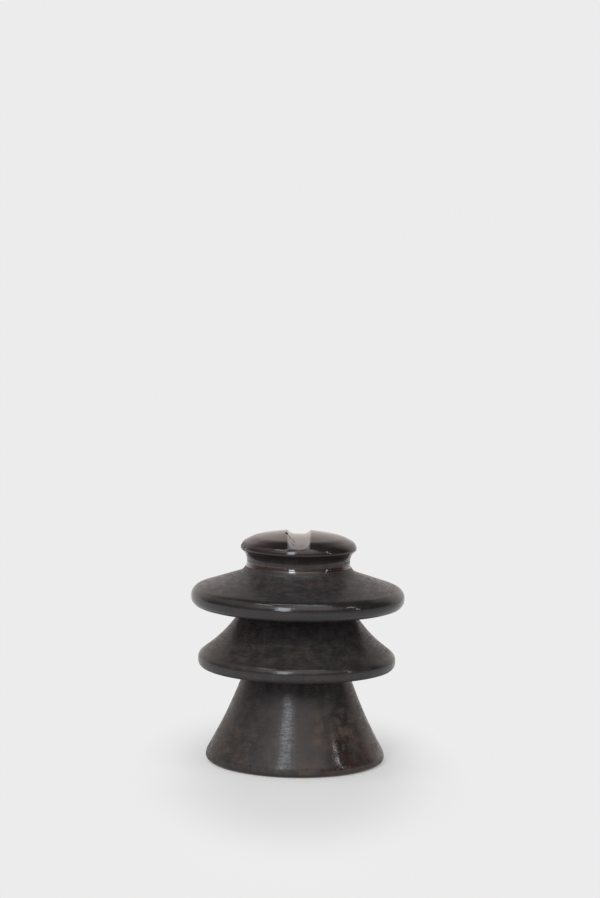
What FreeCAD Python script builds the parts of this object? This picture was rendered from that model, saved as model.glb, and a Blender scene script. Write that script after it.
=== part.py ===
import FreeCAD, Part
import math
import os
import re

import Sketcher

# A cemented pin-type line insulator of three nested porcelain shells, +Z up.
# The origin is the centre of the base rim, on the surface that the insulator stands on.
# The conductor lies along Y in the groove over the crown; the tie wire goes round the neck.
# Every outline is a half section: "across" is the distance from the axis, "up" the height.

SIZES = {
    # crown: the dome that carries the conductor
    "crown_top": 231.3,
    "crown_flat": 20,
    "crown_dome_round": 185,
    "crown_break_radius": 45.5,
    "crown_break_height": 225.9,
    "crown_break_round": 30,
    "crown_radius": 58,
    "crown_shoulder": 219.5,
    "crown_shoulder_round": 8,
    "crown_brim": 213.6,
    "crown_brim_round": 1.6,
    # neck: the groove for the tie wire
    "neck_radius": 51.6,
    "neck_top": 208.6,
    "neck_foot": 193.2,
    "neck_round": 13,
    # conductor groove: a U with flaring sides, arched along its length
    "wire_groove_mouth": 12.2,
    "wire_groove_half_floor": 8.2,
    "wire_groove_floor": 226.7,
    "wire_groove_round": 9.5,
    "wire_groove_arch": 245,
    "wire_groove_lip_round": 1.3,
    "wire_groove_reach": 1.25,
    # top shed
    "top_shed_radius": 106.7,
    "top_shed_lip": 156.4,
    "top_shed_lip_round": 8.2,
    "top_shed_rim": 173.5,
    "top_shed_rim_round": 10,
    "top_shed_root_radius": 63.6,
    "top_shed_root": 188,
    "top_shed_root_round": 60,
    "top_socket_mouth": 176,
    "top_hollow_inset": 5,
    "top_hollow_rise": 8.5,
    "top_socket_wall_round": 12,
    # middle shed
    "middle_shed_radius": 98.8,
    "middle_shed_lip": 94.8,
    "middle_shed_lip_round": 6,
    "middle_shed_rim": 107.5,
    "middle_shed_rim_round": 8.3,
    "middle_flank_radius": 75.1,
    "middle_flank_height": 126,
    "middle_flank_round": 130,
    "middle_head_foot": 176.6,
    "middle_head_foot_round": 10,
    "middle_socket_mouth": 160,
    "middle_lip_thinning": 2.5,
    "middle_hollow_thinning": 1,
    "middle_hollow_drop": 11,
    "middle_hollow_round": 40,
    "middle_socket_flare": 9,
    "middle_socket_wall": 5,
    # bottom shell: the flared base that the insulator stands on
    "base_radius": 89.5,
    "base_edge_round": 5.2,
    "base_rim": 8.8,
    "base_rim_round": 13.5,
    "base_flank_radius": 68.5,
    "base_flank_height": 46,
    "base_flank_round": 480,
    "bottom_head_foot": 163.2,
    "bottom_head_foot_round": 20,
    "bell_roof": 118,
    "base_foot_width": 10.5,
    "bell_roof_drop": 5,
    # porcelain: thickness of the sheds, and roundings that repeat
    "shell_thickness": 13.5,
    "inner_lip_round": 4,
    "hollow_round": 8,
    "mouth_round": 1,
    "socket_end_round": 4,
    "head_end_round": 5,
    # nested heads and their cemented joints
    "pin_hole_radius": 17.8,
    "pin_hole_end": 182,
    "bottom_head_radius": 25.3,
    "bottom_head_end": 191,
    "middle_head_radius": 36.2,
    "middle_head_end": 204,
    "sand_depth": 0.8,
    "cement_depth": 1.8,
    "cushion_depth": 4,
    "cushion_share_of_head": 0.6,
    "seal_depth": 2,
    "upper_seal_foot": 181,
    "lower_seal_foot": 167,
    # threaded thimble for a 1 inch pin, 4 threads to the inch
    "thimble_radius": 15.5,
    "thimble_foot": 124,
    "thimble_length": 55,
    "thread_crest_radius": 11.6,
    "thread_depth": 1.2,
    "thread_pitch": 6.35,
    "thread_flare": 1.05,
    "thimble_mouth_bevel": 1.5,
    "bitumen_depth": 0.4,
    "pin_hole_bare_end": 6,
}

# Radii of the two larger sockets: the head inside, a sand coat on each side, and the cement.
TOP_SOCKET = "(middle_head_radius + 2 * sand_depth + cement_depth)"
MIDDLE_SOCKET = "(bottom_head_radius + 2 * sand_depth + cement_depth)"
TOP_SOCKET_END = "(middle_head_end + cushion_depth)"
MIDDLE_SOCKET_END = "(bottom_head_end + cushion_depth)"
THIMBLE_END = "(thimble_foot + thimble_length)"

# Volumes in cubic millimetres that the two cuts have to take away at the very least.
LEAST_WIRE_GROOVE = 1000
LEAST_THREAD = 100

doc = FreeCAD.newDocument("PorcelainInsulator")
sheet = doc.addObject("Spreadsheet::Sheet", "Sizes")
for row, (alias, size) in enumerate(SIZES.items(), start=1):
    sheet.set(f"A{row}", alias)
    sheet.set(f"B{row}", str(size))
    sheet.setAlias(f"B{row}", alias)
doc.recompute()


def bound(formula):
    """Write a formula of sizes as an expression that reads the sheet."""
    return re.sub(r"[a-z][a-z_]+", lambda name: "Sizes." + name.group(0), str(formula))


def amount(formula):
    """Work out a formula of sizes as a number."""
    return float(sheet.evalExpression(bound(formula)))


def new_body(name):
    """Add an empty body whose label is the node's name."""
    body = doc.addObject("PartDesign::Body", name)
    body.Label = name
    return body


def new_sketch(body, name, plane_role):
    """Add a sketch on one of the body's own origin planes."""
    plane = next(item for item in body.Origin.OriginFeatures if item.Role == plane_role)
    sketch = body.newObject("Sketcher::SketchObject", name)
    sketch.AttachmentSupport = [(plane, "")]
    sketch.MapMode = "FlatFace"
    return sketch


def bind(sketch, kind, ends, formula, name):
    """Add a driving dimension and tie it to the sheet."""
    index = sketch.addConstraint(Sketcher.Constraint(kind, *ends, amount(formula)))
    sketch.renameConstraint(index, name)
    sketch.setExpression("Constraints." + name, bound(formula))


def place_point(sketch, point, across, up, name):
    """Fix a point's distance from the axis and its height; a zero puts it on the axis line."""
    for kind, formula, axis in (("DistanceX", across, -2), ("DistanceY", up, -1)):
        if formula == 0:
            sketch.addConstraint(Sketcher.Constraint("PointOnObject", *point, axis))
        else:
            bind(sketch, kind, (-1, 1, *point), formula, f"{name}_{kind}")


def draw_outline(sketch, corners):
    """Draw a closed outline through corners of (across, up) or (across, up, rounding)."""
    count = len(corners)
    spots = [FreeCAD.Vector(amount(corner[0]), amount(corner[1]), 0) for corner in corners]
    entries = []
    exits = []
    arcs = []
    for number, corner in enumerate(corners):
        here = spots[number]
        back = (spots[number - 1] - here).normalize()
        ahead = (spots[(number + 1) % count] - here).normalize()
        if len(corner) == 2:
            entries.append(here)
            exits.append(here)
            arcs.append(None)
            continue
        radius = amount(corner[2])
        half_angle = back.getAngle(ahead) / 2
        run = radius / math.tan(half_angle)
        centre = here + (back + ahead).normalize() * (radius / math.sin(half_angle))
        entries.append(here + back * run)
        exits.append(here + ahead * run)
        turns_left = back.cross(ahead).z < 0
        first, last = (entries[-1], exits[-1]) if turns_left else (exits[-1], entries[-1])
        start_angle = math.atan2(first.y - centre.y, first.x - centre.x)
        end_angle = math.atan2(last.y - centre.y, last.x - centre.x)
        circle = Part.Circle(centre, FreeCAD.Vector(0, 0, 1), radius)
        arc = sketch.addGeometry(Part.ArcOfCircle(circle, start_angle, end_angle))
        arcs.append((arc, 1, 2) if turns_left else (arc, 2, 1))
    lines = []
    for number in range(count):
        lines.append(sketch.addGeometry(Part.LineSegment(exits[number], entries[(number + 1) % count])))
    for number, corner in enumerate(corners):
        line_in = lines[number - 1]
        line_out = lines[number]
        name = f"corner_{number}"
        if arcs[number] is None:
            sketch.addConstraint(Sketcher.Constraint("Coincident", line_in, 2, line_out, 1))
            place_point(sketch, (line_out, 1), corner[0], corner[1], name)
            continue
        arc, arc_in, arc_out = arcs[number]
        sketch.addConstraint(Sketcher.Constraint("Tangent", line_in, 2, arc, arc_in))
        sketch.addConstraint(Sketcher.Constraint("Tangent", line_out, 1, arc, arc_out))
        tip = sketch.addGeometry(Part.Point(spots[number]), True)
        sketch.addConstraint(Sketcher.Constraint("PointOnObject", tip, 1, line_in))
        sketch.addConstraint(Sketcher.Constraint("PointOnObject", tip, 1, line_out))
        place_point(sketch, (tip, 1), corner[0], corner[1], name)
        bind(sketch, "Radius", (arc,), corner[2], name + "_round")


def turned(name, corners):
    """Make a body by turning a closed half section round the Z axis."""
    body = new_body(name)
    sketch = new_sketch(body, name + "_section", "XZ_Plane")
    draw_outline(sketch, corners)
    turn = body.newObject("PartDesign::Revolution", name + "_turn")
    turn.Profile = sketch
    turn.ReferenceAxis = (sketch, ["V_Axis"])
    turn.Angle = 360
    doc.recompute()
    return body


def ring(name, inner, outer, foot, end):
    """Make a plain ring between two radii and two heights."""
    return turned(name, [(inner, foot), (outer, foot), (outer, end), (inner, end)])


def cushion(name, radius, foot):
    """Make the cork disc that keeps a head off the end of its socket."""
    return turned(name, [(0, foot), (radius, foot), (radius, f"{foot} + cushion_depth"),
                         (0, f"{foot} + cushion_depth")])


def make_top_shell():
    """Crown, neck and top shed in one piece of porcelain, with the conductor groove cut over it."""
    lip_inside = "top_shed_radius - shell_thickness"
    body = turned("top_shell", [
        (0, "crown_top"),
        ("crown_flat", "crown_top", "crown_dome_round"),
        ("crown_break_radius", "crown_break_height", "crown_break_round"),
        ("crown_radius", "crown_shoulder", "crown_shoulder_round"),
        ("crown_radius", "crown_brim", "crown_brim_round"),
        ("neck_radius", "neck_top", "neck_round"),
        ("neck_radius", "neck_foot", "neck_round"),
        ("top_shed_root_radius", "top_shed_root", "top_shed_root_round"),
        ("top_shed_radius", "top_shed_rim", "top_shed_rim_round"),
        ("top_shed_radius", "top_shed_lip", "top_shed_lip_round"),
        (lip_inside, "top_shed_lip", "inner_lip_round"),
        (lip_inside + " - top_hollow_inset", "top_shed_lip + top_hollow_rise", "hollow_round"),
        (TOP_SOCKET + " + shell_thickness", "top_socket_mouth", "top_socket_wall_round"),
        (TOP_SOCKET, "top_socket_mouth", "mouth_round"),
        (TOP_SOCKET, TOP_SOCKET_END, "socket_end_round"),
        (0, TOP_SOCKET_END),
    ])
    cut_wire_groove(body)
    return body


def cut_wire_groove(body):
    """Turn a U section round an axis far below the crown, so the groove's floor is arched."""
    before = body.Shape.Volume
    sketch = new_sketch(body, "wire_groove_section", "XZ_Plane")
    depth_at_crown = "(crown_top - wire_groove_floor)"
    clear_of_crown = f"crown_top + {depth_at_crown}"
    flared = "(2 * wire_groove_mouth - wire_groove_half_floor)"
    draw_outline(sketch, [
        (f"-{flared}", clear_of_crown),
        ("-wire_groove_half_floor", "wire_groove_floor", "wire_groove_round"),
        ("wire_groove_half_floor", "wire_groove_floor", "wire_groove_round"),
        (flared, clear_of_crown),
    ])
    depth = "wire_groove_floor - wire_groove_arch"
    level = amount(depth)
    axis = sketch.addGeometry(
        Part.LineSegment(FreeCAD.Vector(0, level, 0), FreeCAD.Vector(amount("crown_radius"), level, 0)), True)
    sketch.addConstraint(Sketcher.Constraint("PointOnObject", axis, 1, -2))
    sketch.addConstraint(Sketcher.Constraint("Horizontal", axis))
    bind(sketch, "DistanceY", (-1, 1, axis, 1), depth, "arch_centre")
    bind(sketch, "DistanceX", (axis, 1, axis, 2), "crown_radius", "arch_axis")
    groove = body.newObject("PartDesign::Groove", "wire_groove")
    groove.Profile = sketch
    groove.ReferenceAxis = (sketch, ["Axis0"])
    groove.Midplane = True
    reach = bound("wire_groove_reach * crown_radius / wire_groove_arch")
    groove.setExpression("Angle", f"2 * asin({reach})")
    doc.recompute()
    if body.Shape.Volume > before - LEAST_WIRE_GROOVE:
        raise RuntimeError("the conductor groove cut nothing")
    soften_groove_lip(body, groove)


def soften_groove_lip(body, groove):
    """Round the lip where the groove breaks out of the dome: the only edges that are free curves."""
    lip_edges = []
    for number, edge in enumerate(groove.Shape.Edges, start=1):
        if isinstance(edge.Curve, Part.BSplineCurve):
            lip_edges.append(f"Edge{number}")
    fillet = body.newObject("PartDesign::Fillet", "wire_groove_lip")
    fillet.Base = (groove, lip_edges)
    fillet.setExpression("Radius", bound("wire_groove_lip_round"))
    doc.recompute()


def make_middle_shell():
    """Head and middle shed: a cone that hides its head in the top shell's socket."""
    lip_inside = "middle_shed_radius - shell_thickness + middle_lip_thinning"
    hollow = "middle_flank_radius - shell_thickness + middle_hollow_thinning"
    flared_socket = MIDDLE_SOCKET + " + middle_socket_flare"
    return turned("middle_shell", [
        (0, "middle_head_end"),
        ("middle_head_radius", "middle_head_end", "head_end_round"),
        ("middle_head_radius", "middle_head_foot", "middle_head_foot_round"),
        ("middle_flank_radius", "middle_flank_height", "middle_flank_round"),
        ("middle_shed_radius", "middle_shed_rim", "middle_shed_rim_round"),
        ("middle_shed_radius", "middle_shed_lip", "middle_shed_lip_round"),
        (lip_inside, "middle_shed_lip", "inner_lip_round"),
        (hollow, "middle_flank_height - middle_hollow_drop", "middle_hollow_round"),
        (flared_socket, "middle_socket_mouth - middle_socket_flare", "hollow_round"),
        (MIDDLE_SOCKET + " + middle_socket_wall", "middle_socket_mouth", "mouth_round"),
        (MIDDLE_SOCKET, "middle_socket_mouth", "mouth_round"),
        (MIDDLE_SOCKET, MIDDLE_SOCKET_END, "socket_end_round"),
        (0, MIDDLE_SOCKET_END),
    ])


def make_bottom_shell():
    """Head and flared base: a hollow bell that stands on its rim, with the pin hole in its roof."""
    return turned("bottom_shell", [
        (0, "bottom_head_end"),
        ("bottom_head_radius", "bottom_head_end", "head_end_round"),
        ("bottom_head_radius", "bottom_head_foot", "bottom_head_foot_round"),
        ("base_flank_radius", "base_flank_height", "base_flank_round"),
        ("base_radius", "base_rim", "base_rim_round"),
        ("base_radius", 0, "base_edge_round"),
        ("base_radius - base_foot_width", 0, "inner_lip_round"),
        ("base_flank_radius - shell_thickness", "base_flank_height", "base_flank_round"),
        ("pin_hole_radius + shell_thickness", "bell_roof - bell_roof_drop", "hollow_round"),
        ("pin_hole_radius", "bell_roof", "2 * mouth_round"),
        ("pin_hole_radius", "pin_hole_end", "socket_end_round"),
        (0, "pin_hole_end"),
    ])


def make_cement(name, head, head_end, head_round, head_coat, socket, seal_foot, sand_top, coat_top):
    """Fill the joint round a head: a sleeve between the two coats, closing over the head's edge."""
    foot = f"{seal_foot} + seal_depth"
    pad = f"{head} * cushion_share_of_head"
    over_head = [(head, head_end, head_round)] if head_round else [(head, head_end)]
    return turned(name, [
        (f"{head} + {head_coat}", foot),
        (f"{socket} - sand_depth", foot),
        (f"{socket} - sand_depth", sand_top),
        (socket, sand_top),
        (socket, f"{head_end} + cushion_depth", "socket_end_round"),
        (pad, f"{head_end} + cushion_depth"),
        (pad, head_end),
        *over_head,
        (head, coat_top),
        (f"{head} + {head_coat}", coat_top),
    ])


def make_joint(place, head_name, socket_name, head, head_end, socket, seal_foot):
    """Everything between two porcelain shells: two sand coats, cement, cork cushion and bitumen seal."""
    foot = f"{seal_foot} + seal_depth"
    sand_top = f"{head_end} - head_end_round - seal_depth"
    return [
        make_cement(place + "_cement", head, head_end, "head_end_round", "sand_depth", socket,
                    seal_foot, sand_top, sand_top),
        ring(head_name, head, f"{head} + sand_depth", foot, sand_top),
        ring(socket_name, f"{socket} - sand_depth", socket, foot, sand_top),
        cushion(place + "_cork_cushion", f"{head} * cushion_share_of_head", head_end),
        ring(place + "_bitumen_seal", head, socket, seal_foot, foot),
    ]


def make_thimble():
    """Zinc sleeve with a rounded helical thread for the pin."""
    body = turned("pin_thimble", [
        ("thread_crest_radius + thimble_mouth_bevel", "thimble_foot"),
        ("thimble_radius", "thimble_foot"),
        ("thimble_radius", THIMBLE_END),
        ("thread_crest_radius", THIMBLE_END),
        ("thread_crest_radius", "thimble_foot + thimble_mouth_bevel"),
    ])
    cut_thread(body)
    return body


def cut_thread(body):
    """Cut the rounded thread up the bore, run out before the thimble's closed end."""
    before = body.Shape.Volume
    sketch = new_sketch(body, "thread_section", "XZ_Plane")
    clear_of_wall = "thread_crest_radius - thread_depth / 2"
    bottom_of_groove = "thread_crest_radius + thread_depth"
    lower_side = "thimble_foot - thread_flare * thread_depth"
    upper_side = "thimble_foot + thread_flare * thread_depth"
    draw_outline(sketch, [
        (clear_of_wall, lower_side),
        (bottom_of_groove, lower_side, "thread_depth"),
        (bottom_of_groove, upper_side, "thread_depth"),
        (clear_of_wall, upper_side),
    ])
    thread = body.newObject("PartDesign::SubtractiveHelix", "thread")
    thread.Profile = sketch
    thread.ReferenceAxis = (sketch, ["V_Axis"])
    thread.Mode = 0
    thread.setExpression("Pitch", bound("thread_pitch"))
    thread.setExpression("Height", bound("thimble_length - thread_pitch"))
    doc.recompute()
    if body.Shape.Volume > before - LEAST_THREAD:
        raise RuntimeError("the thread cut nothing")


def make_thimble_joint():
    """Everything between the thimble and the porcelain pin hole."""
    foot = "thimble_foot + seal_depth"
    sand_top = "pin_hole_end - pin_hole_bare_end"
    end = THIMBLE_END
    cushion_edge = "(thread_crest_radius + thread_depth)"
    return [
        turned("thimble_cement", [
            ("thimble_radius + bitumen_depth", foot),
            ("pin_hole_radius - sand_depth", foot),
            ("pin_hole_radius - sand_depth", sand_top),
            ("pin_hole_radius", sand_top),
            ("pin_hole_radius", "pin_hole_end", "socket_end_round"),
            (cushion_edge, "pin_hole_end"),
            (cushion_edge, end),
            ("thimble_radius + bitumen_depth", end),
        ]),
        ring("pin_hole_sand_coat", "pin_hole_radius - sand_depth", "pin_hole_radius", foot, sand_top),
        ring("thimble_bitumen_coat", "thimble_radius", "thimble_radius + bitumen_depth", foot, end),
        turned("thimble_end_cushion", [(0, end), (cushion_edge, end),
                                       (cushion_edge, "pin_hole_end"), (0, "pin_hole_end")]),
        ring("thimble_bitumen_seal", "thimble_radius", "pin_hole_radius", "thimble_foot", foot),
    ]


pieces = [make_top_shell(), make_middle_shell(), make_bottom_shell()]
pieces += make_joint("upper", "middle_head_sand_coat", "top_socket_sand_coat", "middle_head_radius",
                     "middle_head_end", TOP_SOCKET, "upper_seal_foot")
pieces += make_joint("lower", "bottom_head_sand_coat", "middle_socket_sand_coat", "bottom_head_radius",
                     "bottom_head_end", MIDDLE_SOCKET, "lower_seal_foot")
pieces.append(make_thimble())
pieces += make_thimble_joint()

doc.recompute()
for item in doc.Objects:
    if "Invalid" in item.State or "Error" in item.State:
        raise RuntimeError(f"{item.Name} failed: {item.State}")
for piece in pieces:
    if piece.Shape.isNull() or not piece.Shape.isValid():
        raise RuntimeError(f"{piece.Label} has no valid shape")

os.makedirs("parts", exist_ok=True)
for piece in pieces:
    piece.Shape.exportStep(f"parts/{piece.Label}.step")
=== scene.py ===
import math
import random

import bpy
from bpy.props import FloatProperty, FloatVectorProperty, PointerProperty
from mathutils import Euler, Matrix, Vector


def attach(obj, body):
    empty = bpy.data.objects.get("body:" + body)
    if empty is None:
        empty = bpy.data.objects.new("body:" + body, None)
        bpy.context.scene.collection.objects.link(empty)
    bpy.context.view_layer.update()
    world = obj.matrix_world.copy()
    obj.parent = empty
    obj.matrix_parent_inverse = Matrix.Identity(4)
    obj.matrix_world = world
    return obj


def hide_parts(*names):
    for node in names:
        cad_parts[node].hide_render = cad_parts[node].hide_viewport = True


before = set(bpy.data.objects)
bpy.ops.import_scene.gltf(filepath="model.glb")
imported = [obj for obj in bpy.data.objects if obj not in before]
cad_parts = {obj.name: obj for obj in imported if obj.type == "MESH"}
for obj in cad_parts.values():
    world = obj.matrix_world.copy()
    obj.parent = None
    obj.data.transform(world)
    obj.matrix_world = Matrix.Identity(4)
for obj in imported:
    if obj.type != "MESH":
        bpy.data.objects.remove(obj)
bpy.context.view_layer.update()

bl_info = {
    "name": "Porcelain line insulator",
    "version": (1, 0, 0),
    "blender": (4, 5, 0),
    "location": "3D View > Sidebar > Insulator",
    "description": "Dresses a cemented three-piece porcelain insulator in weathered glaze",
    "category": "Object",
}

MM = 0.001
BODY = "root"

# Material slots of a shell, after the first one, which holds its glaze.
BROKEN = 1
GRIME = 2


# ---------------------------------------------------------------- sizes and colours

class GlazeSettings(bpy.types.PropertyGroup):
    """The fired glaze and what years outdoors have left on it."""
    deep: FloatVectorProperty(
        name="Deep glaze", description="Glaze where it lies thick",
        subtype="COLOR", default=(0.0165, 0.0147, 0.0155))
    thin: FloatVectorProperty(
        name="Thin glaze", description="Glaze where it has drawn thin or fired redder",
        subtype="COLOR", default=(0.050, 0.021, 0.015))
    dust: FloatVectorProperty(
        name="Dust", description="Dull film over the glaze",
        subtype="COLOR", default=(0.056, 0.0500, 0.0485))
    earth: FloatVectorProperty(
        name="Earth", description="Brown dirt rubbed into the film",
        subtype="COLOR", default=(0.105, 0.076, 0.056))
    bare: FloatVectorProperty(
        name="Bare porcelain", description="Fired body where there is no glaze",
        subtype="COLOR", default=(0.46, 0.41, 0.35))
    grime: FloatVectorProperty(
        name="Grime", description="Dark dirt settled in pits and chips",
        subtype="COLOR", default=(0.010, 0.008, 0.007))
    # Painted reflection: this pale colour in the conductor groove stands in for its reflection of the
    # bright room, on glaze worn by the conductor.
    wear_and_reflection: FloatVectorProperty(
        name="Worn glaze", description="Glaze rubbed pale by the conductor",
        subtype="COLOR", default=(0.165, 0.153, 0.146))
    roughness: FloatProperty(
        name="Roughness", description="Roughness of clean weathered glaze", default=0.21, min=0.0, max=1.0)
    cell: FloatProperty(
        name="Mesh cell", description="Edge length of the shells' even mesh",
        default=1.45 * MM, unit="LENGTH")
    wave: FloatProperty(
        name="Surface wave", description="How far the turned surface wanders from true",
        default=0.35 * MM, unit="LENGTH")


class JointSettings(bpy.types.PropertyGroup):
    """What fills the joints between the shells."""
    cement: FloatVectorProperty(
        name="Cement", description="Set Portland cement", subtype="COLOR", default=(0.36, 0.34, 0.30))
    grit: FloatVectorProperty(
        name="Grit", description="Fired-on porcelain grit", subtype="COLOR", default=(0.46, 0.42, 0.34))
    cork: FloatVectorProperty(
        name="Cork", description="Cork of the cushions", subtype="COLOR", default=(0.30, 0.17, 0.08))
    bitumen: FloatVectorProperty(
        name="Bitumen", description="Brushed bitumen paint", subtype="COLOR", default=(0.008, 0.007, 0.007))
    zinc: FloatVectorProperty(
        name="Zinc", description="Cast zinc of the thimble", subtype="COLOR", default=(0.33, 0.34, 0.35))


class StageSettings(bpy.types.PropertyGroup):
    """Camera, lights and floor."""
    distance: FloatProperty(
        name="Camera distance", description="Level distance from the axis", default=2.70, unit="LENGTH")
    height: FloatProperty(
        name="Camera height", description="Height above the floor", default=0.602, unit="LENGTH")
    pitch: FloatProperty(
        name="Camera pitch", description="How far the camera looks down",
        default=math.radians(6.10), subtype="ANGLE")
    roll: FloatProperty(
        name="Camera roll", description="Turn about the line of sight",
        default=math.radians(1.10), subtype="ANGLE")
    pan: FloatProperty(
        name="Camera pan", description="Turn away from the axis, to the left",
        default=math.radians(0.014), subtype="ANGLE")
    lens: FloatProperty(name="Focal length", description="In millimetres", default=109.7)
    backdrop: FloatProperty(name="Backdrop", description="Brightness of the lit paper behind", default=0.84)
    floor: FloatProperty(name="Floor", description="How much light the floor returns", default=0.60)
    floor_glow: FloatProperty(
        name="Floor glow", description="Light that comes through the floor", default=0.36)


# ---------------------------------------------------------------- materials

class Signal:
    """A number on its way through a node tree. Arithmetic on it adds Math nodes."""

    def __init__(self, recipe, socket):
        self.recipe = recipe
        self.socket = socket

    def maths(self, operation, *operands):
        return self.recipe.add("ShaderNodeMath", {"operation": operation}, dict(enumerate(operands)))

    def __add__(self, other):
        return self.maths("ADD", self, other)

    __radd__ = __add__

    def __sub__(self, other):
        return self.maths("SUBTRACT", self, other)

    def __rsub__(self, other):
        return self.maths("SUBTRACT", other, self)

    def __mul__(self, other):
        return self.maths("MULTIPLY", self, other)

    def __pow__(self, other):
        return self.maths("POWER", self, other)

    def __abs__(self):
        return self.maths("ABSOLUTE", self)

    def clamped(self):
        """Held between zero and one."""
        return self.recipe.add("ShaderNodeClamp", {}, {0: self})

    def ramp(self, start, end, low=0.0, high=1.0):
        """Ease from low to high as the value goes from start to end."""
        return self.recipe.add(
            "ShaderNodeMapRange", {"interpolation_type": "SMOOTHSTEP"},
            {"Value": self, "From Min": start, "From Max": end, "To Min": low, "To Max": high})

    def band(self, start, end, soft):
        """One between start and end, easing to nothing over soft at each side."""
        return self.ramp(start - soft, start) * self.ramp(end, end + soft, 1.0, 0.0)


class Recipe:
    """A node tree, with its nodes added by type."""

    def __init__(self, tree):
        self.tree = tree
        self.tree.nodes.clear()

    def add(self, kind, settings, inputs, output=0):
        """Add a node: its settings first, then the values or links of its sockets."""
        node = self.tree.nodes.new(kind)
        for name, value in settings.items():
            setattr(node, name, value)
        for name, value in inputs.items():
            if isinstance(value, Signal):
                self.tree.links.new(value.socket, node.inputs[name])
            else:
                node.inputs[name].default_value = value
        return Signal(self, node.outputs[output]) if node.outputs else node

    def part(self, vector, axis):
        """One coordinate of a vector."""
        return self.add("ShaderNodeSeparateXYZ", {}, {0: vector}, axis)


class Finish(Recipe):
    """One material, with its place in millimetres and the patterns that it is made of."""

    def __init__(self, name):
        self.material = bpy.data.materials.new(name)
        self.material.use_nodes = True
        super().__init__(self.material.node_tree)
        coordinates = self.add("ShaderNodeTexCoord", {}, {}, "Object")
        self.place = self.add(
            "ShaderNodeVectorMath", {"operation": "SCALE"}, {0: coordinates, "Scale": 1 / MM})
        self.x, self.y, self.z = (self.part(self.place, axis) for axis in "XYZ")

    def stretched(self, x, y, z):
        """The place, squeezed or drawn out along each axis."""
        return self.add("ShaderNodeVectorMath", {"operation": "MULTIPLY"}, {0: self.place, 1: (x, y, z)})

    def noise(self, size, detail=2.0, place=None):
        """Cloudy noise whose lumps are about size millimetres across."""
        return self.add(
            "ShaderNodeTexNoise", {"noise_dimensions": "3D"},
            {"Vector": place or self.place, "Scale": 1 / size, "Detail": detail})

    def cells(self, size, feature="F1", output="Distance"):
        """Distance to the nearest of scattered points about size millimetres apart."""
        return self.add(
            "ShaderNodeTexVoronoi", {"feature": feature},
            {"Vector": self.place, "Scale": 1 / size}, output)

    def mix(self, factor, first, second):
        """Blend two colours. The node keeps its colour sockets after those for numbers and vectors."""
        colours = [c if isinstance(c, Signal) else (*c[:3], 1.0) for c in (first, second)]
        return self.add(
            "ShaderNodeMix", {"data_type": "RGBA"}, {0: factor, 6: colours[0], 7: colours[1]}, output=2)

    def grey(self, value):
        """A grey as bright as a value."""
        return self.add("ShaderNodeCombineColor", {}, {0: value, 1: value, 2: value})

    def bump(self, height, depth, under=None):
        """Raise the surface by height times depth millimetres, over another bump."""
        inputs = {"Strength": 1.0, "Distance": depth * MM, "Height": height}
        if under:
            inputs["Normal"] = under
        return self.add("ShaderNodeBump", {}, inputs)

    def shader(self, inputs):
        """The one kind of shader that every surface here is made of."""
        return self.add("ShaderNodeBsdfPrincipled", {}, inputs)

    def close(self, shader):
        """Send a shader to the material's output."""
        self.add("ShaderNodeOutputMaterial", {}, {"Surface": shader})
        return self.material


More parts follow.
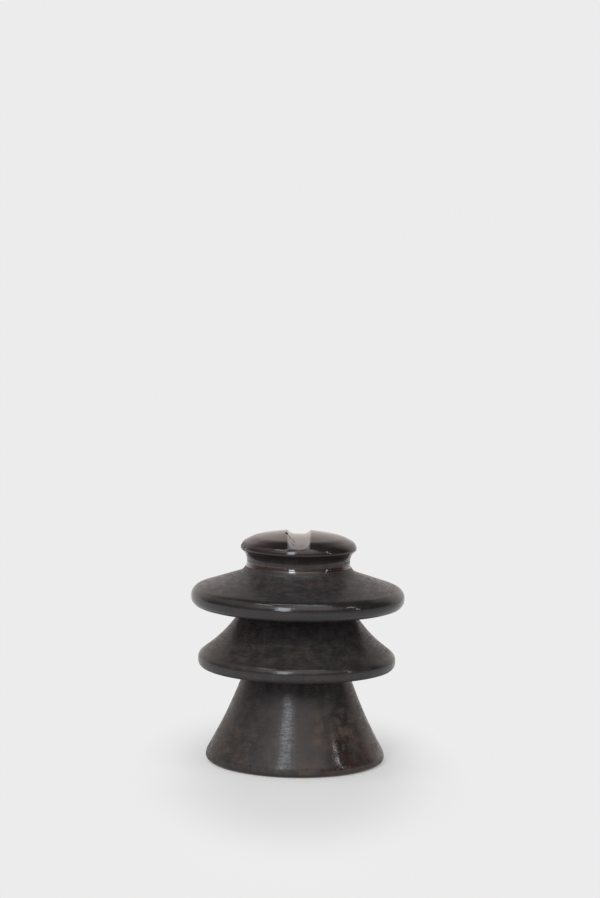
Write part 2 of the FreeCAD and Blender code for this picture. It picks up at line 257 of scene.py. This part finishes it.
class Glaze(Finish):
    """Dark brown porcelain glaze with a dull film over it, thicker here and thinner there."""

    # Noise wanders to either side of this.
    MIDDLE = 0.5

    # How much of the film comes and goes with each pattern.
    MOTTLE_IN_FILM = 0.65
    SPECKLE_IN_FILM = 0.9
    LINES_IN_FILM = 0.9
    SHELTER_IN_FILM = 0.30

    # Which clouds the thin glaze follows.
    THIN_BY_BROAD = 1.1
    THIN_BY_MOTTLE = 0.5

    # How strongly thin glaze, earth, rubbed spots and the painted shade on faces that look down show at the
    # most.
    THIN_SHOWS = 0.30
    EARTH_SHOWS = 0.30
    RUBBED_SHOWS = 0.40
    DOWN_FACING_SHADE_SHOWS = 0.75

    # Roughness: how far it wanders, what clean glaze loses and what bare porcelain gains.
    UNEVEN_ROUGHNESS = 0.12
    CLEAN_POLISH = 0.55
    BARE_ROUGHNESS = 0.5

    def __init__(self, name, glaze):
        super().__init__(name)
        self.glaze = glaze
        self.radius = (self.x * self.x + self.y * self.y) ** 0.5
        broad = self.noise(size=38, detail=3)
        self.mottle = self.noise(size=9, detail=4)
        self.speckle = self.noise(size=1.7, detail=3)
        self.lines = self.noise(size=1.4, detail=3, place=self.stretched(x=0.10, y=0.10, z=1.0))
        normal = self.add("ShaderNodeTexCoord", {}, {}, "Normal")
        # Faces that look down: the film lies thicker there, and its colour is darkened there as a painted
        # shade.
        self.down_facing_dust_and_shade = self.part(normal, "Z").ramp(start=-0.05, end=-0.65)
        drawn = broad * self.THIN_BY_BROAD + self.mottle * self.THIN_BY_MOTTLE
        self.thin = drawn.ramp(start=0.76, end=1.15) * self.THIN_SHOWS
        dirt = self.noise(size=17, detail=5, place=self.stretched(x=0.6, y=0.6, z=1.0))
        self.earth = dirt.ramp(start=0.53, end=0.72) * self.EARTH_SHOWS
        self.clean = 0.0
        self.wear_and_reflection = 0.0
        self.bare = 0.0

    def uneven_film(self, film):
        """The film as mottled, speckled and lined, thicker on faces that look down, and gone where the
        shell is clean or bare.
        """
        uneven = ((self.mottle - self.MIDDLE) * self.MOTTLE_IN_FILM
                  + (self.speckle - self.MIDDLE) * self.SPECKLE_IN_FILM
                  + (self.lines - self.MIDDLE) * self.LINES_IN_FILM)
        film = film + uneven + self.down_facing_dust_and_shade * self.SHELTER_IN_FILM
        return (film * (1 - self.clean) * (1 - self.bare)).clamped()

    def glaze_colour(self):
        """Deep glaze, redder where thin, pale where worn and where a reflection is painted in, and body
        colour where bare.
        """
        colour = self.mix(self.thin, self.glaze.deep, self.glaze.thin)
        colour = self.mix(self.wear_and_reflection, colour, self.glaze.wear_and_reflection)
        return self.mix(self.bare, colour, self.glaze.bare)

    def film_colour(self):
        """Dust with earth in it, darker where it is rubbed, and darkened on faces that look down as a
        painted shade.
        """
        rubbed = self.mottle.ramp(start=0.60, end=0.40)
        colour = self.mix(self.earth, self.glaze.dust, self.glaze.earth)
        colour = self.mix(rubbed * self.RUBBED_SHOWS, colour, self.glaze.deep)
        # Painted shade: the film's colour turns to deep glaze on faces that look down.
        return self.mix(self.down_facing_dust_and_shade * self.DOWN_FACING_SHADE_SHOWS, colour, self.glaze.deep)

    def finish(self, film, gloss=None, wear=None):
        """Lay the film over the glaze. Gloss is where a clear skin shines; wear lowers the surface."""
        film = self.uneven_film(film)
        wave = self.bump(self.noise(size=14, detail=2), depth=0.22)
        peel = self.bump(self.noise(size=0.9, detail=3), depth=0.030, under=wave)
        pinholes = self.cells(size=3.1).ramp(start=0.0, end=0.16)
        normal = self.bump(pinholes, depth=0.05, under=peel)
        if wear:
            normal = self.bump(wear, depth=0.5, under=normal)
        rough = self.glaze.roughness + (self.speckle - self.MIDDLE) * self.UNEVEN_ROUGHNESS
        rough = rough * (1 - self.clean * self.CLEAN_POLISH) + self.bare * self.BARE_ROUGHNESS
        skin = {"Base Color": self.glaze_colour(), "Roughness": rough, "Normal": normal,
                "IOR": 1.52, "Coat Roughness": 0.04}
        if gloss:
            skin["Coat Weight"] = gloss
        dull = {"Base Color": self.film_colour(), "Roughness": 0.62, "Normal": peel,
                "Specular IOR Level": 0.22}
        return self.close(self.add(
            "ShaderNodeMixShader", {}, {0: film, 1: self.shader(skin), 2: self.shader(dull)}))


def top_glaze(glaze):
    """Top shell: clean over the crown and in the conductor groove, bright where the tie wire rubbed. The
    groove floor is painted pale, worn glaze that also stands in for a painted reflection, and the neck
    under the crown is left dark as a painted shade.
    """
    film = 0.50
    film_over_root = 0.10
    film_lost_in_shaded_throat = 0.42
    crown_clean = 0.92
    rim_clean = 0.75
    score_dulls = 0.6
    score_depth = 0.25
    red_on_crown = 0.28
    red_in_ring = 0.6
    earth_over_ring = 0.45
    ring_raggedness = 1.2
    score_waver = 3.4
    upper_score = 202.3
    lower_score = 200.2

    g = Glaze("top_shell_glaze", glaze)
    neck = g.radius.ramp(start=55, end=53)
    crown = g.z.ramp(start=207, end=213)
    ragged_height = g.z + (g.mottle - g.MIDDLE) * ring_raggedness
    ring = ragged_height.band(start=196.9, end=201.3, soft=0.4) * neck
    rim = g.radius.ramp(start=97, end=104) * g.z.ramp(start=157, end=161)
    between_walls = abs(g.x).ramp(start=12.0, end=9.5)
    # The groove floor, painted pale: a painted reflection of the bright room, on glaze worn by the
    # conductor.
    groove_wear_and_reflection = between_walls * g.radius.ramp(start=55.5, end=54) * g.z.ramp(start=216, end=219)
    # Painted shade under the crown: the film is taken away so that the dark glaze shows.
    shaded_throat = g.z.band(start=204, end=212, soft=2) * g.radius.ramp(start=60, end=56)
    root = g.z.band(start=186, end=196, soft=3)
    waver = g.noise(size=7, detail=4, place=g.stretched(x=1, y=1, z=0.4)) * score_waver
    wavering = g.z + waver
    clear = (abs(wavering - upper_score).ramp(start=0.15, end=0.45)
             * abs(wavering - lower_score).ramp(start=0.12, end=0.38))
    score = (1 - clear) * neck
    reddened = g.noise(size=22, detail=3).ramp(start=0.40, end=0.62)

    g.clean = (crown * crown_clean + ring * (1 - score * score_dulls) + rim * rim_clean).clamped()
    g.wear_and_reflection = groove_wear_and_reflection
    red = crown * reddened * red_on_crown + ring * clear * red_in_ring
    g.thin = (g.thin * (1 - ring) + red).clamped()
    g.earth = (g.earth + g.z.band(start=203.0, end=206.5, soft=2.0) * earth_over_ring).clamped()
    film = film + root * film_over_root - shaded_throat * film_lost_in_shaded_throat
    return g.finish(film, gloss=ring * clear, wear=1 - score * score_depth)


def middle_glaze(glaze):
    """Middle shell: the dullest, kept out of the rain but not out of dust."""
    film = 0.60
    rim_clean = 0.45
    thin_kept = 0.5
    earth_kept = 0.7
    earth_on_left = 0.20
    earth_in_streaks = 0.45

    g = Glaze("middle_shell_glaze", glaze)
    rim = g.radius.ramp(start=90, end=96) * g.z.ramp(start=97, end=100)
    left = g.x.ramp(start=-15, end=-70)
    streaks = g.noise(size=5, detail=4, place=g.stretched(x=0.5, y=0.5, z=2.0)).ramp(start=0.52, end=0.66)

    g.clean = rim * rim_clean
    g.thin = g.thin * thin_kept
    g.earth = (g.earth * earth_kept + left * earth_on_left + streaks * left * earth_in_streaks).clamped()
    return g.finish(film)


def base_glaze(glaze):
    """Bottom shell: brown dirt and handling marks low on the flank, bare porcelain under the rim."""
    film = 0.60
    film_lost_when_red = 0.30
    film_lost_at_shaded_foot = 0.6
    film_on_ledge = 0.3
    film_on_marks = 0.2
    red_shows = 0.55
    scuffs_show = 0.45
    patch_shows = 0.50
    edge_shows = 0.4
    polish_clean = 0.75

    g = Glaze("bottom_shell_glaze", glaze)
    low = g.z.ramp(start=75, end=15)
    right = g.x.ramp(start=0, end=45)
    red_clouds = g.noise(size=26, detail=4, place=g.stretched(x=1, y=1, z=1.6))
    red = low * right * red_clouds.ramp(start=0.40, end=0.56)
    scuff_clouds = g.noise(size=11, detail=5, place=g.stretched(x=0.5, y=0.5, z=1.0))
    scuffs = scuff_clouds.ramp(start=0.50, end=0.62) * low
    patch_clouds = g.noise(size=9, detail=4).ramp(start=0.28, end=0.66)
    patch = g.x.band(start=24, end=62, soft=14) * g.z.band(start=38, end=56, soft=14) * patch_clouds
    edge_clouds = g.noise(size=6, detail=4).ramp(start=0.42, end=0.56)
    edge = g.z.band(start=14, end=44, soft=8) * g.x.ramp(start=-52, end=-70) * edge_clouds
    # Painted shade at the foot, where the base stands on the floor: the film is taken away so that the dark
    # glaze shows.
    shaded_foot = g.z.ramp(start=4, end=2)
    ledge = g.z.band(start=4.5, end=8, soft=1.5)
    front = g.y.ramp(start=0, end=-20)
    broken_up = g.noise(size=3.5, detail=3).ramp(start=0.40, end=0.52)
    polished = g.z.band(start=5, end=33, soft=3) * g.x.band(start=28, end=50, soft=5) * front * broken_up

    g.thin = (g.thin + red * red_shows).clamped()
    g.earth = (g.earth + scuffs * scuffs_show + patch * patch_shows + edge * edge_shows).clamped()
    g.bare = g.z.ramp(start=1.4, end=0.6) * g.mottle.ramp(start=0.30, end=0.38)
    g.clean = polished * polish_clean
    lost = red * film_lost_when_red + shaded_foot * film_lost_at_shaded_foot
    gained = ledge * film_on_ledge + (patch + edge) * film_on_marks
    return g.finish(film - lost + gained)


def broken_material(glaze):
    """Porcelain broken open: pale grains between dirt that has worked into the fracture."""
    f = Finish("broken_porcelain")
    grains = f.noise(size=1.0, detail=3)
    tone = f.mix(grains.ramp(start=0.50, end=0.60), glaze.grime, glaze.bare)
    return f.close(f.shader({
        "Base Color": tone, "Roughness": 0.72, "Normal": f.bump(grains, depth=0.25)}))


def grime_material(glaze):
    """Dark dirt that fills pits in the glaze."""
    f = Finish("settled_grime")
    lumps = f.noise(size=0.6, detail=3)
    tone = f.mix(lumps.ramp(start=0.4, end=0.7), glaze.grime, shaded(glaze.grime, share=2.2))
    return f.close(f.shader({
        "Base Color": tone, "Roughness": 0.8, "Normal": f.bump(lumps, depth=0.1)}))


def shaded(colour, share):
    """A colour made darker, or lighter where the share is more than one."""
    return tuple(c * share for c in colour)


def cement_material(joint):
    """Set Portland cement: grey, matt, with fine sand in it."""
    f = Finish("set_cement")
    clouds = f.noise(size=4, detail=4).ramp(start=0.35, end=0.7)
    sand = f.noise(size=0.7, detail=4)
    tone = f.mix(clouds, joint.cement, shaded(joint.cement, share=0.6))
    return f.close(f.shader({
        "Base Color": tone, "Roughness": 0.9, "Normal": f.bump(sand, depth=0.25)}))


def grit_material(joint):
    """Crushed porcelain fired on to the glaze: sharp pale grains."""
    f = Finish("fired_on_grit")
    grains = f.cells(size=0.9)
    tone = f.mix(grains.ramp(start=0.1, end=0.6), joint.grit, shaded(joint.grit, share=0.35))
    return f.close(f.shader({
        "Base Color": tone, "Roughness": 0.75, "Normal": f.bump(1 - grains, depth=0.4)}))


def cork_material(joint):
    """Pressed cork: packed granules with darker bark between them."""
    granule = 2.2
    granules_differ = 0.6
    f = Finish("pressed_cork")
    edges = f.cells(granule, "DISTANCE_TO_EDGE").ramp(start=0.0, end=0.12)
    each = f.add("ShaderNodeSeparateColor", {}, {0: f.cells(granule, "F1", "Color")}, 0)
    tone = f.mix(each * granules_differ, joint.cork, shaded(joint.cork, share=0.45))
    tone = f.mix(1 - edges, tone, shaded(joint.cork, share=0.2))
    return f.close(f.shader({
        "Base Color": tone, "Roughness": 0.85, "Normal": f.bump(edges, depth=0.15)}))


def bitumen_material(joint):
    """Brushed bitumen paint: black, uneven and slightly glossy."""
    glossy = 0.32
    rougher_on_strokes = 0.3
    f = Finish("bitumen_paint")
    strokes = f.noise(size=2.5, detail=3, place=f.stretched(x=1, y=1, z=0.3))
    tone = f.mix(strokes.ramp(start=0.5, end=0.8), joint.bitumen, shaded(joint.bitumen, share=4))
    return f.close(f.shader({
        "Base Color": tone, "Roughness": glossy + strokes * rougher_on_strokes,
        "Normal": f.bump(strokes, depth=0.3)}))


def zinc_material(joint):
    """Die-cast zinc that has dulled and grown a white bloom."""
    dull = 0.38
    rougher_in_bloom = 0.4
    metal_lost_in_bloom = 0.8
    f = Finish("dull_cast_zinc")
    bloom = f.noise(size=6, detail=5).ramp(start=0.5, end=0.72)
    cast_skin = f.noise(size=0.9, detail=4)
    tone = f.mix(bloom, joint.zinc, shaded(joint.zinc, share=1.8))
    return f.close(f.shader({
        "Base Color": tone, "Metallic": 1 - bloom * metal_lost_in_bloom,
        "Roughness": dull + bloom * rougher_in_bloom, "Normal": f.bump(cast_skin, depth=0.08)}))


def dress(node_name, material):
    """Give a frame node a better material in every slot."""
    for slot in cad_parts[node_name].material_slots:
        slot.material = material


# ---------------------------------------------------------------- modelling helpers

# Where a blow starts: this far from the axis, or this high above the base.
CLEAR_OF_SHEDS = 0.2
CLEAR_OF_CROWN = 0.3
# Width of the lumps in a shell's turned surface and in a broken edge.
TURNING_LUMP = 0.03
FLAKE_LUMP = 1.6 * MM
# Edges sharper than this stay sharp.
SHARP_EDGE = math.radians(55)


def pick(*pieces):
    """Leave these objects selected, the first one active, and everything else deselected."""
    bpy.ops.object.select_all(action="DESELECT")
    for piece in pieces:
        piece.select_set(True)
    bpy.context.view_layer.objects.active = pieces[0]


def apply(piece, kind, **settings):
    """Add a modifier with its settings and apply it."""
    modifier = piece.modifiers.new(kind.title(), kind)
    for name, value in settings.items():
        setattr(modifier, name, value)
    pick(piece)
    bpy.ops.object.modifier_apply(modifier=modifier.name)


def even_skin(node_name, piece_name, cell):
    """Copy a shell, remesh it in even quads and lay them back on the designed surface."""
    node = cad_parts[node_name]
    piece = bpy.data.objects.new(piece_name, node.data.copy())
    bpy.context.scene.collection.objects.link(piece)
    pick(piece)
    bpy.ops.object.mode_set(mode="EDIT")
    bpy.ops.mesh.select_all(action="SELECT")
    bpy.ops.mesh.remove_doubles(threshold=0.01 * MM)
    bpy.ops.object.mode_set(mode="OBJECT")
    bpy.ops.mesh.customdata_custom_splitnormals_clear()
    apply(piece, "REMESH", mode="VOXEL", voxel_size=cell, use_smooth_shade=True)
    apply(piece, "SHRINKWRAP", target=node, wrap_method="NEAREST_SURFACEPOINT")
    return piece


def roughen(piece, depth, lump, middle):
    """Push the surface in and out by depth, in lumps of a given width; a middle of 1 only goes in."""
    texture = bpy.data.textures.new(piece.name + "_lumps", "CLOUDS")
    texture.noise_scale = lump
    texture.noise_depth = 1
    apply(piece, "DISPLACE", texture=texture, strength=depth, mid_level=middle, texture_coords="LOCAL")
    bpy.data.textures.remove(texture)


class Blow:
    """One knock on a shell: where it landed, which way it ran, and how much came away."""

    def __init__(self, piece, start, aim, size, along=None):
        found, self.spot, self.normal, _ = piece.ray_cast(start, aim)
        if not found:
            raise RuntimeError(f"a blow at {tuple(start)} missed {piece.name}")
        self.size = [length * MM / 2 for length in size[:2]] + [size[2] * MM]
        run = Vector(along) if along else Vector((-aim.y, aim.x, 0))
        across = (run - self.normal * run.dot(self.normal)).normalized()
        axes = Matrix((across, self.normal.cross(across), self.normal)).transposed()
        self.turn = axes.to_euler()


def side_blow(piece, azimuth, height, size, along=None):
    """A blow from outside, at an azimuth in degrees from the front and a height in millimetres."""
    angle = math.radians(azimuth)
    outward = Vector((math.sin(angle), -math.cos(angle), 0))
    start = outward * CLEAR_OF_SHEDS + Vector((0, 0, height * MM))
    return Blow(piece, start, -outward, size, along)


def top_blow(piece, x, y, size, along):
    """A blow from above, at a place in millimetres."""
    return Blow(piece, Vector((x * MM, y * MM, CLEAR_OF_CROWN)), Vector((0, 0, -1)), size, along)


def knock_out(piece, name, blows, slot, ragged, detail):
    """Cut a ragged flake out of a shell at each blow, and show the slot's material where it came away."""
    flakes = []
    for blow in blows:
        bpy.ops.object.select_all(action="DESELECT")
        bpy.ops.mesh.primitive_ico_sphere_add(
            subdivisions=detail, radius=1.0, location=blow.spot, rotation=blow.turn, scale=blow.size)
        flakes.append(bpy.context.object)
    pick(*flakes)
    if len(flakes) > 1:
        bpy.ops.object.join()
    tool = flakes[0]
    tool.name = name
    bpy.ops.object.transform_apply(location=True, rotation=True, scale=True)
    roughen(tool, depth=ragged * MM, lump=FLAKE_LUMP, middle=0.5)
    for material in piece.data.materials:
        tool.data.materials.append(material)
    tool.data.polygons.foreach_set("material_index", [slot] * len(tool.data.polygons))
    faces = len(piece.data.polygons)
    apply(piece, "BOOLEAN", operation="DIFFERENCE", solver="MANIFOLD", object=tool)
    if len(piece.data.polygons) == faces:
        raise RuntimeError(f"{name} cut nothing out of {piece.name}")
    bpy.data.objects.remove(tool)


def glazed_shell(node, material, glaze):
    """An evenly meshed shell with slots for its glaze, broken porcelain and grime."""
    piece = even_skin(node, node + "_glazed", glaze.cell)
    roughen(piece, depth=glaze.wave, lump=TURNING_LUMP, middle=1.0)
    piece.data.materials.clear()
    piece.data.materials.append(material)
    piece.data.materials.append(bpy.data.materials.get("broken_porcelain") or broken_material(glaze))
    piece.data.materials.append(bpy.data.materials.get("settled_grime") or grime_material(glaze))
    return piece


def hand_over(piece, node):
    """Finish a shell: smooth but for its broken edges, on its body, for its node."""
    pick(piece)
    bpy.ops.object.shade_smooth_by_angle(angle=SHARP_EDGE)
    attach(piece, BODY)
    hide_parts(node)


# ---------------------------------------------------------------- damage

# From the side: azimuth in degrees from the front, height, and (across, up, deep) in millimetres.
CROWN_CHIPS = (
    (-76, 218.4, (11, 7, 1.9)),
    (-68, 216.8, (7, 5, 1.2)),
    (-83, 215.6, (8, 5, 1.3)),
    (-72, 213.8, (5, 3, 0.9)),
    (33.5, 216.3, (1.1, 0.9, 0.5)),
    (66, 170.5, (2.0, 1.2, 0.5)),
    (150, 172, (3.4, 1.8, 0.8)),
    (236, 218, (4.6, 2.4, 0.9)),
    (-52, 164, (1.6, 1.0, 0.5)),
)
MIDDLE_NICKS = (
    (8, 96.2, (1.5, 1.6, 0.6)),
    (-24, 139.3, (0.9, 0.9, 0.4)),
    (128, 104, (3.6, 1.6, 0.7)),
    (205, 98, (4.2, 2.2, 0.8)),
)
BASE_NICKS = (
    (21.3, 50.7, (1.1, 1.0, 0.5)),
    (-38.2, 61.6, (0.9, 0.8, 0.4)),
    (17, 50.0, (0.6, 0.6, 0.3)),
    (-14, 40.0, (0.9, 0.7, 0.3)),
    (64, 3.6, (4.0, 1.6, 0.8)),
    (164, 3.0, (6.5, 2.6, 1.1)),
    (250, 4.0, (3.6, 1.8, 0.7)),
    (-63, 2.6, (3.0, 1.4, 0.6)),
)
# From above: place, (along, across, deep) in millimetres, and the way it runs.
GROOVE_CRACK = (
    (-12.0, -10, (12, 3.6, 2.2), (0.2, -1, 0)),
    (-9.6, -16, (17, 1.3, 0.9), (0.35, -1, 0)),
    (-5.6, -27, (18, 0.9, 0.6), (0.25, -1, 0)),
)
# Hairline cracks that follow the crack out to the lip, each one a step further.
CRAZING = tuple(
    (-9.0 + step * 0.8, -30 - step * 2.6, (9.0, 0.6, 0.35), (0.45, -1, 0)) for step in range(5))
# Slanting scratches up the neck, each one a step higher and shorter.
NECK_SCRATCHES = tuple(
    (64 - step % 2 * 3, 203.6 + step * 1.7, (6.5 - step, 0.6, 0.30), (1, 0.8, -0.1)) for step in range(5))
# Pits on the middle flank: how many, widths, and where they gather.
PITS = 54
PIT_WIDTH = (1.0, 3.0)
PIT_FLATNESS = 0.8
PIT_DEPTH = 0.6
PIT_AZIMUTH = (-41, 9)
PIT_HEIGHT = (131, 7)
PIT_LOWEST = 112
PIT_HIGHEST = 147
PIT_SEED = 11


# ---------------------------------------------------------------- operators

class INSULATOR_OT_top_shell(bpy.types.Operator):
    """Make the glazed top shell, chipped at the crown and at the lip of the conductor groove"""
    bl_idname = "insulator.top_shell"
    bl_label = "Top shell"

    def execute(self, context):
        glaze = context.scene.insulator_glaze
        piece = glazed_shell("top_shell", top_glaze(glaze), glaze)
        chips = [side_blow(piece, *chip) for chip in CROWN_CHIPS]
        knock_out(piece, "crown_chips", chips, BROKEN, ragged=0.9, detail=3)
        cracks = [top_blow(piece, *crack) for crack in GROOVE_CRACK + CRAZING]
        scratches = [side_blow(piece, *scratch) for scratch in NECK_SCRATCHES]
        knock_out(piece, "crown_cracks", cracks + scratches, GRIME, ragged=0.1, detail=2)
        hand_over(piece, "top_shell")
        return {"FINISHED"}


class INSULATOR_OT_middle_shell(bpy.types.Operator):
    """Make the glazed middle shell, pitted on one side of its flank"""
    bl_idname = "insulator.middle_shell"
    bl_label = "Middle shell"

    def execute(self, context):
        glaze = context.scene.insulator_glaze
        piece = glazed_shell("middle_shell", middle_glaze(glaze), glaze)
        draw = random.Random(PIT_SEED)
        pits = []
        for _ in range(PITS):
            width = draw.uniform(*PIT_WIDTH)
            azimuth = draw.gauss(*PIT_AZIMUTH)
            height = min(PIT_HIGHEST, max(PIT_LOWEST, draw.gauss(*PIT_HEIGHT)))
            pits.append(side_blow(piece, azimuth, height, (width, width * PIT_FLATNESS, PIT_DEPTH)))
        knock_out(piece, "flank_pits", pits, GRIME, ragged=0.15, detail=1)
        nicks = [side_blow(piece, *nick) for nick in MIDDLE_NICKS]
        knock_out(piece, "middle_nicks", nicks, BROKEN, ragged=0.4, detail=2)
        hand_over(piece, "middle_shell")
        return {"FINISHED"}


class INSULATOR_OT_bottom_shell(bpy.types.Operator):
    """Make the glazed bottom shell, nicked along the rim that it stands on"""
    bl_idname = "insulator.bottom_shell"
    bl_label = "Bottom shell"

    def execute(self, context):
        glaze = context.scene.insulator_glaze
        piece = glazed_shell("bottom_shell", base_glaze(glaze), glaze)
        nicks = [side_blow(piece, *nick) for nick in BASE_NICKS]
        knock_out(piece, "base_nicks", nicks, BROKEN, ragged=0.5, detail=2)
        hand_over(piece, "bottom_shell")
        return {"FINISHED"}


class INSULATOR_OT_joints(bpy.types.Operator):
    """Dress the cement, grit, cork and bitumen in the joints"""
    bl_idname = "insulator.joints"
    bl_label = "Joint fillings"

    def execute(self, context):
        joint = context.scene.insulator_joint
        finishes = {"cement": cement_material(joint), "sand_coat": grit_material(joint),
                    "cushion": cork_material(joint), "bitumen": bitumen_material(joint)}
        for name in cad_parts:
            for word, material in finishes.items():
                if word in name:
                    dress(name, material)
        return {"FINISHED"}


class INSULATOR_OT_thimble(bpy.types.Operator):
    """Dress the threaded zinc thimble"""
    bl_idname = "insulator.thimble"
    bl_label = "Pin thimble"

    def execute(self, context):
        dress("pin_thimble", zinc_material(context.scene.insulator_joint))
        return {"FINISHED"}


class INSULATOR_OT_stage(bpy.types.Operator):
    """Set up the floor, the lights and the camera"""
    bl_idname = "insulator.stage"
    bl_label = "Stage"

    def execute(self, context):
        stage = context.scene.insulator_stage
        context.scene.view_settings.view_transform = "Standard"
        add_room(context, stage)
        add_floor(stage)
        for lamp in LAMPS:
            add_light(*lamp)
        add_camera(context, stage)
        return {"FINISHED"}


# ---------------------------------------------------------------- stage

DAYLIGHT = (0.86, 0.94, 1.0)
LAMPLIGHT = (1.0, 0.97, 0.92)
# Name, place, width and height in metres, power in watts, colour.
LAMPS = (
    ("overhead_left", (-0.62, -0.38, 1.5), 0.45, 0.20, 1.2, DAYLIGHT),
    ("overhead_middle", (0.0, -0.15, 1.5), 0.80, 0.25, 2.2, DAYLIGHT),
    ("overhead_front", (0.2, -0.60, 1.5), 0.90, 0.30, 2.0, DAYLIGHT),
    ("key_softbox", (-0.53, -1.96, 1.18), 0.52, 1.49, 19.0, DAYLIGHT),
    ("side_strip_high", (1.58, -0.74, 1.32), 0.08, 0.28, 0.9, LAMPLIGHT),
    ("side_strip_low", (1.83, -0.85, 0.68), 0.05, 0.60, 1.0, LAMPLIGHT),
)
LAMPS_AIM = Vector((0, 0, 0.1))
FLOOR_SIZE = 60
SENSOR_WIDTH = 36
# How much redder, less green and less blue the room's own light is than white.
ROOM_TINT = (0.06, -0.04, -0.08)


def add_room(context, stage):
    """A room lit from a paper backdrop, the left and the front, and seen as an even white."""
    world = bpy.data.worlds.new("studio_room")
    context.scene.world = world
    world.use_nodes = True
    room = Recipe(world.node_tree)
    way = room.add("ShaderNodeTexCoord", {}, {}, "Generated")
    x, y, z = (room.part(way, axis) for axis in "XYZ")
    climb = z.maths("ARCSINE", z) * math.degrees(1)
    swing = x.maths("ARCTAN2", x, y) * math.degrees(1)
    behind = abs(swing).ramp(start=75, end=45)
    before = abs(swing).ramp(start=110, end=145)
    beside = 1 - behind - before
    left = swing.ramp(start=20, end=-20)
    below_ceiling = climb.ramp(start=68, end=52)
    backdrop = (climb.ramp(start=20, end=56, low=0.78, high=0.0)
                + climb.ramp(start=6, end=2, low=0.0, high=0.06))
    front = climb.ramp(start=12, end=38, low=0.20, high=1.40) * below_ceiling
    wall = left * climb.ramp(start=10, end=40, low=0.12, high=0.54) * below_ceiling
    light = behind * backdrop + before * front + beside * wall
    seen = room.add("ShaderNodeLightPath", {}, {}, "Is Camera Ray")
    unseen = 1 - seen
    strength = seen * stage.backdrop + unseen * light
    tinted = {channel: unseen * tint + 1 for channel, tint in enumerate(ROOM_TINT)}
    colour = room.add("ShaderNodeCombineColor", {}, tinted)
    sky = room.add("ShaderNodeBackground", {}, {"Color": colour, "Strength": strength})
    room.add("ShaderNodeOutputWorld", {}, {"Surface": sky})


def add_floor(stage):
    """A pale floor that glows: its glow is dimmed close to the base as a painted shadow, and out of sight
    it glows as bright as the backdrop, with a painted shade beyond the right edge of view.
    """
    narrower_across = 2.2
    shadow_in_front = 110
    glow_in_painted_shadow = 0.68
    view_edge = 0.165
    dimmer_aside = 0.62

    bpy.ops.object.select_all(action="DESELECT")
    bpy.ops.mesh.primitive_plane_add(size=FLOOR_SIZE, location=(0, 0, 0))
    floor = bpy.context.object
    floor.name = "floor"
    f = Finish("pale_floor")
    across = f.x * narrower_across
    along = f.y + shadow_in_front
    reach = (across * across + along * along) ** 0.5
    # Painted shadow: the floor's glow is dimmed around the base, most in front of it.
    glow = reach.ramp(start=90, end=330, low=stage.floor_glow * glow_in_painted_shadow, high=stage.floor_glow)
    near = f.shader({"Base Color": (stage.floor, stage.floor, stage.floor, 1.0), "Roughness": 1.0,
                     "Specular IOR Level": 0.0, "Emission Color": f.grey(glow), "Emission Strength": 1.0})
    # Painted shade: the far floor glows dimmer beyond the right edge of view.
    past_right_edge = f.x - (f.y + stage.distance / MM) * view_edge
    shine = past_right_edge.ramp(start=0, end=900, low=stage.backdrop, high=stage.backdrop * dimmer_aside)
    far = f.add("ShaderNodeEmission", {}, {"Color": f.grey(shine)})
    leaving = reach.ramp(start=190, end=420)
    floor.data.materials.append(
        f.close(f.add("ShaderNodeMixShader", {}, {0: leaving, 1: near, 2: far})))


def add_light(name, place, width, height, power, colour):
    """A soft rectangular light at a place, turned towards the insulator."""
    data = bpy.data.lights.new(name, "AREA")
    data.shape = "RECTANGLE"
    data.size = width
    data.size_y = height
    data.energy = power
    data.color = colour
    light = bpy.data.objects.new(name, data)
    light.location = place
    light.rotation_euler = (LAMPS_AIM - light.location).to_track_quat("-Z", "Y").to_euler()
    light.visible_camera = False
    bpy.context.scene.collection.objects.link(light)


def add_camera(context, stage):
    """A long lens, a little above the crown, turned slightly about its line of sight."""
    data = bpy.data.cameras.new("camera")
    data.sensor_width = SENSOR_WIDTH
    data.lens = stage.lens
    camera = bpy.data.objects.new("camera", data)
    context.scene.collection.objects.link(camera)
    aim = Euler((math.pi / 2 - stage.pitch, 0, stage.pan)).to_matrix()
    turn = Matrix.Rotation(stage.roll, 3, "Z")
    camera.matrix_world = Matrix.Translation((0, -stage.distance, stage.height)) @ (aim @ turn).to_4x4()
    context.scene.camera = camera


# ---------------------------------------------------------------- panel and registration

class INSULATOR_PT_panel(bpy.types.Panel):
    """Sizes and colours of the insulator, and the steps that build it"""
    bl_label = "Porcelain insulator"
    bl_idname = "INSULATOR_PT_panel"
    bl_space_type = "VIEW_3D"
    bl_region_type = "UI"
    bl_category = "Insulator"

    def draw(self, context):
        for step in STEPS:
            self.layout.operator(step.bl_idname)
        for name in SETTINGS:
            group = getattr(context.scene, name)
            box = self.layout.box()
            for prop in group.bl_rna.properties:
                if prop.identifier not in ("rna_type", "name"):
                    box.prop(group, prop.identifier)


STEPS = (INSULATOR_OT_top_shell, INSULATOR_OT_middle_shell, INSULATOR_OT_bottom_shell,
         INSULATOR_OT_joints, INSULATOR_OT_thimble, INSULATOR_OT_stage)
SETTINGS = {
    "insulator_glaze": GlazeSettings,
    "insulator_joint": JointSettings,
    "insulator_stage": StageSettings,
}


def register():
    for cls in (*SETTINGS.values(), *STEPS, INSULATOR_PT_panel):
        bpy.utils.register_class(cls)
    for name, group in SETTINGS.items():
        setattr(bpy.types.Scene, name, PointerProperty(type=group))


def unregister():
    for name in SETTINGS:
        delattr(bpy.types.Scene, name)
    for cls in (INSULATOR_PT_panel, *reversed(STEPS), *SETTINGS.values()):
        bpy.utils.unregister_class(cls)


def main():
    register()
    bpy.ops.insulator.top_shell()
    bpy.ops.insulator.middle_shell()
    bpy.ops.insulator.bottom_shell()
    bpy.ops.insulator.joints()
    bpy.ops.insulator.thimble()
    bpy.ops.insulator.stage()


if __name__ == "__main__":
    main()
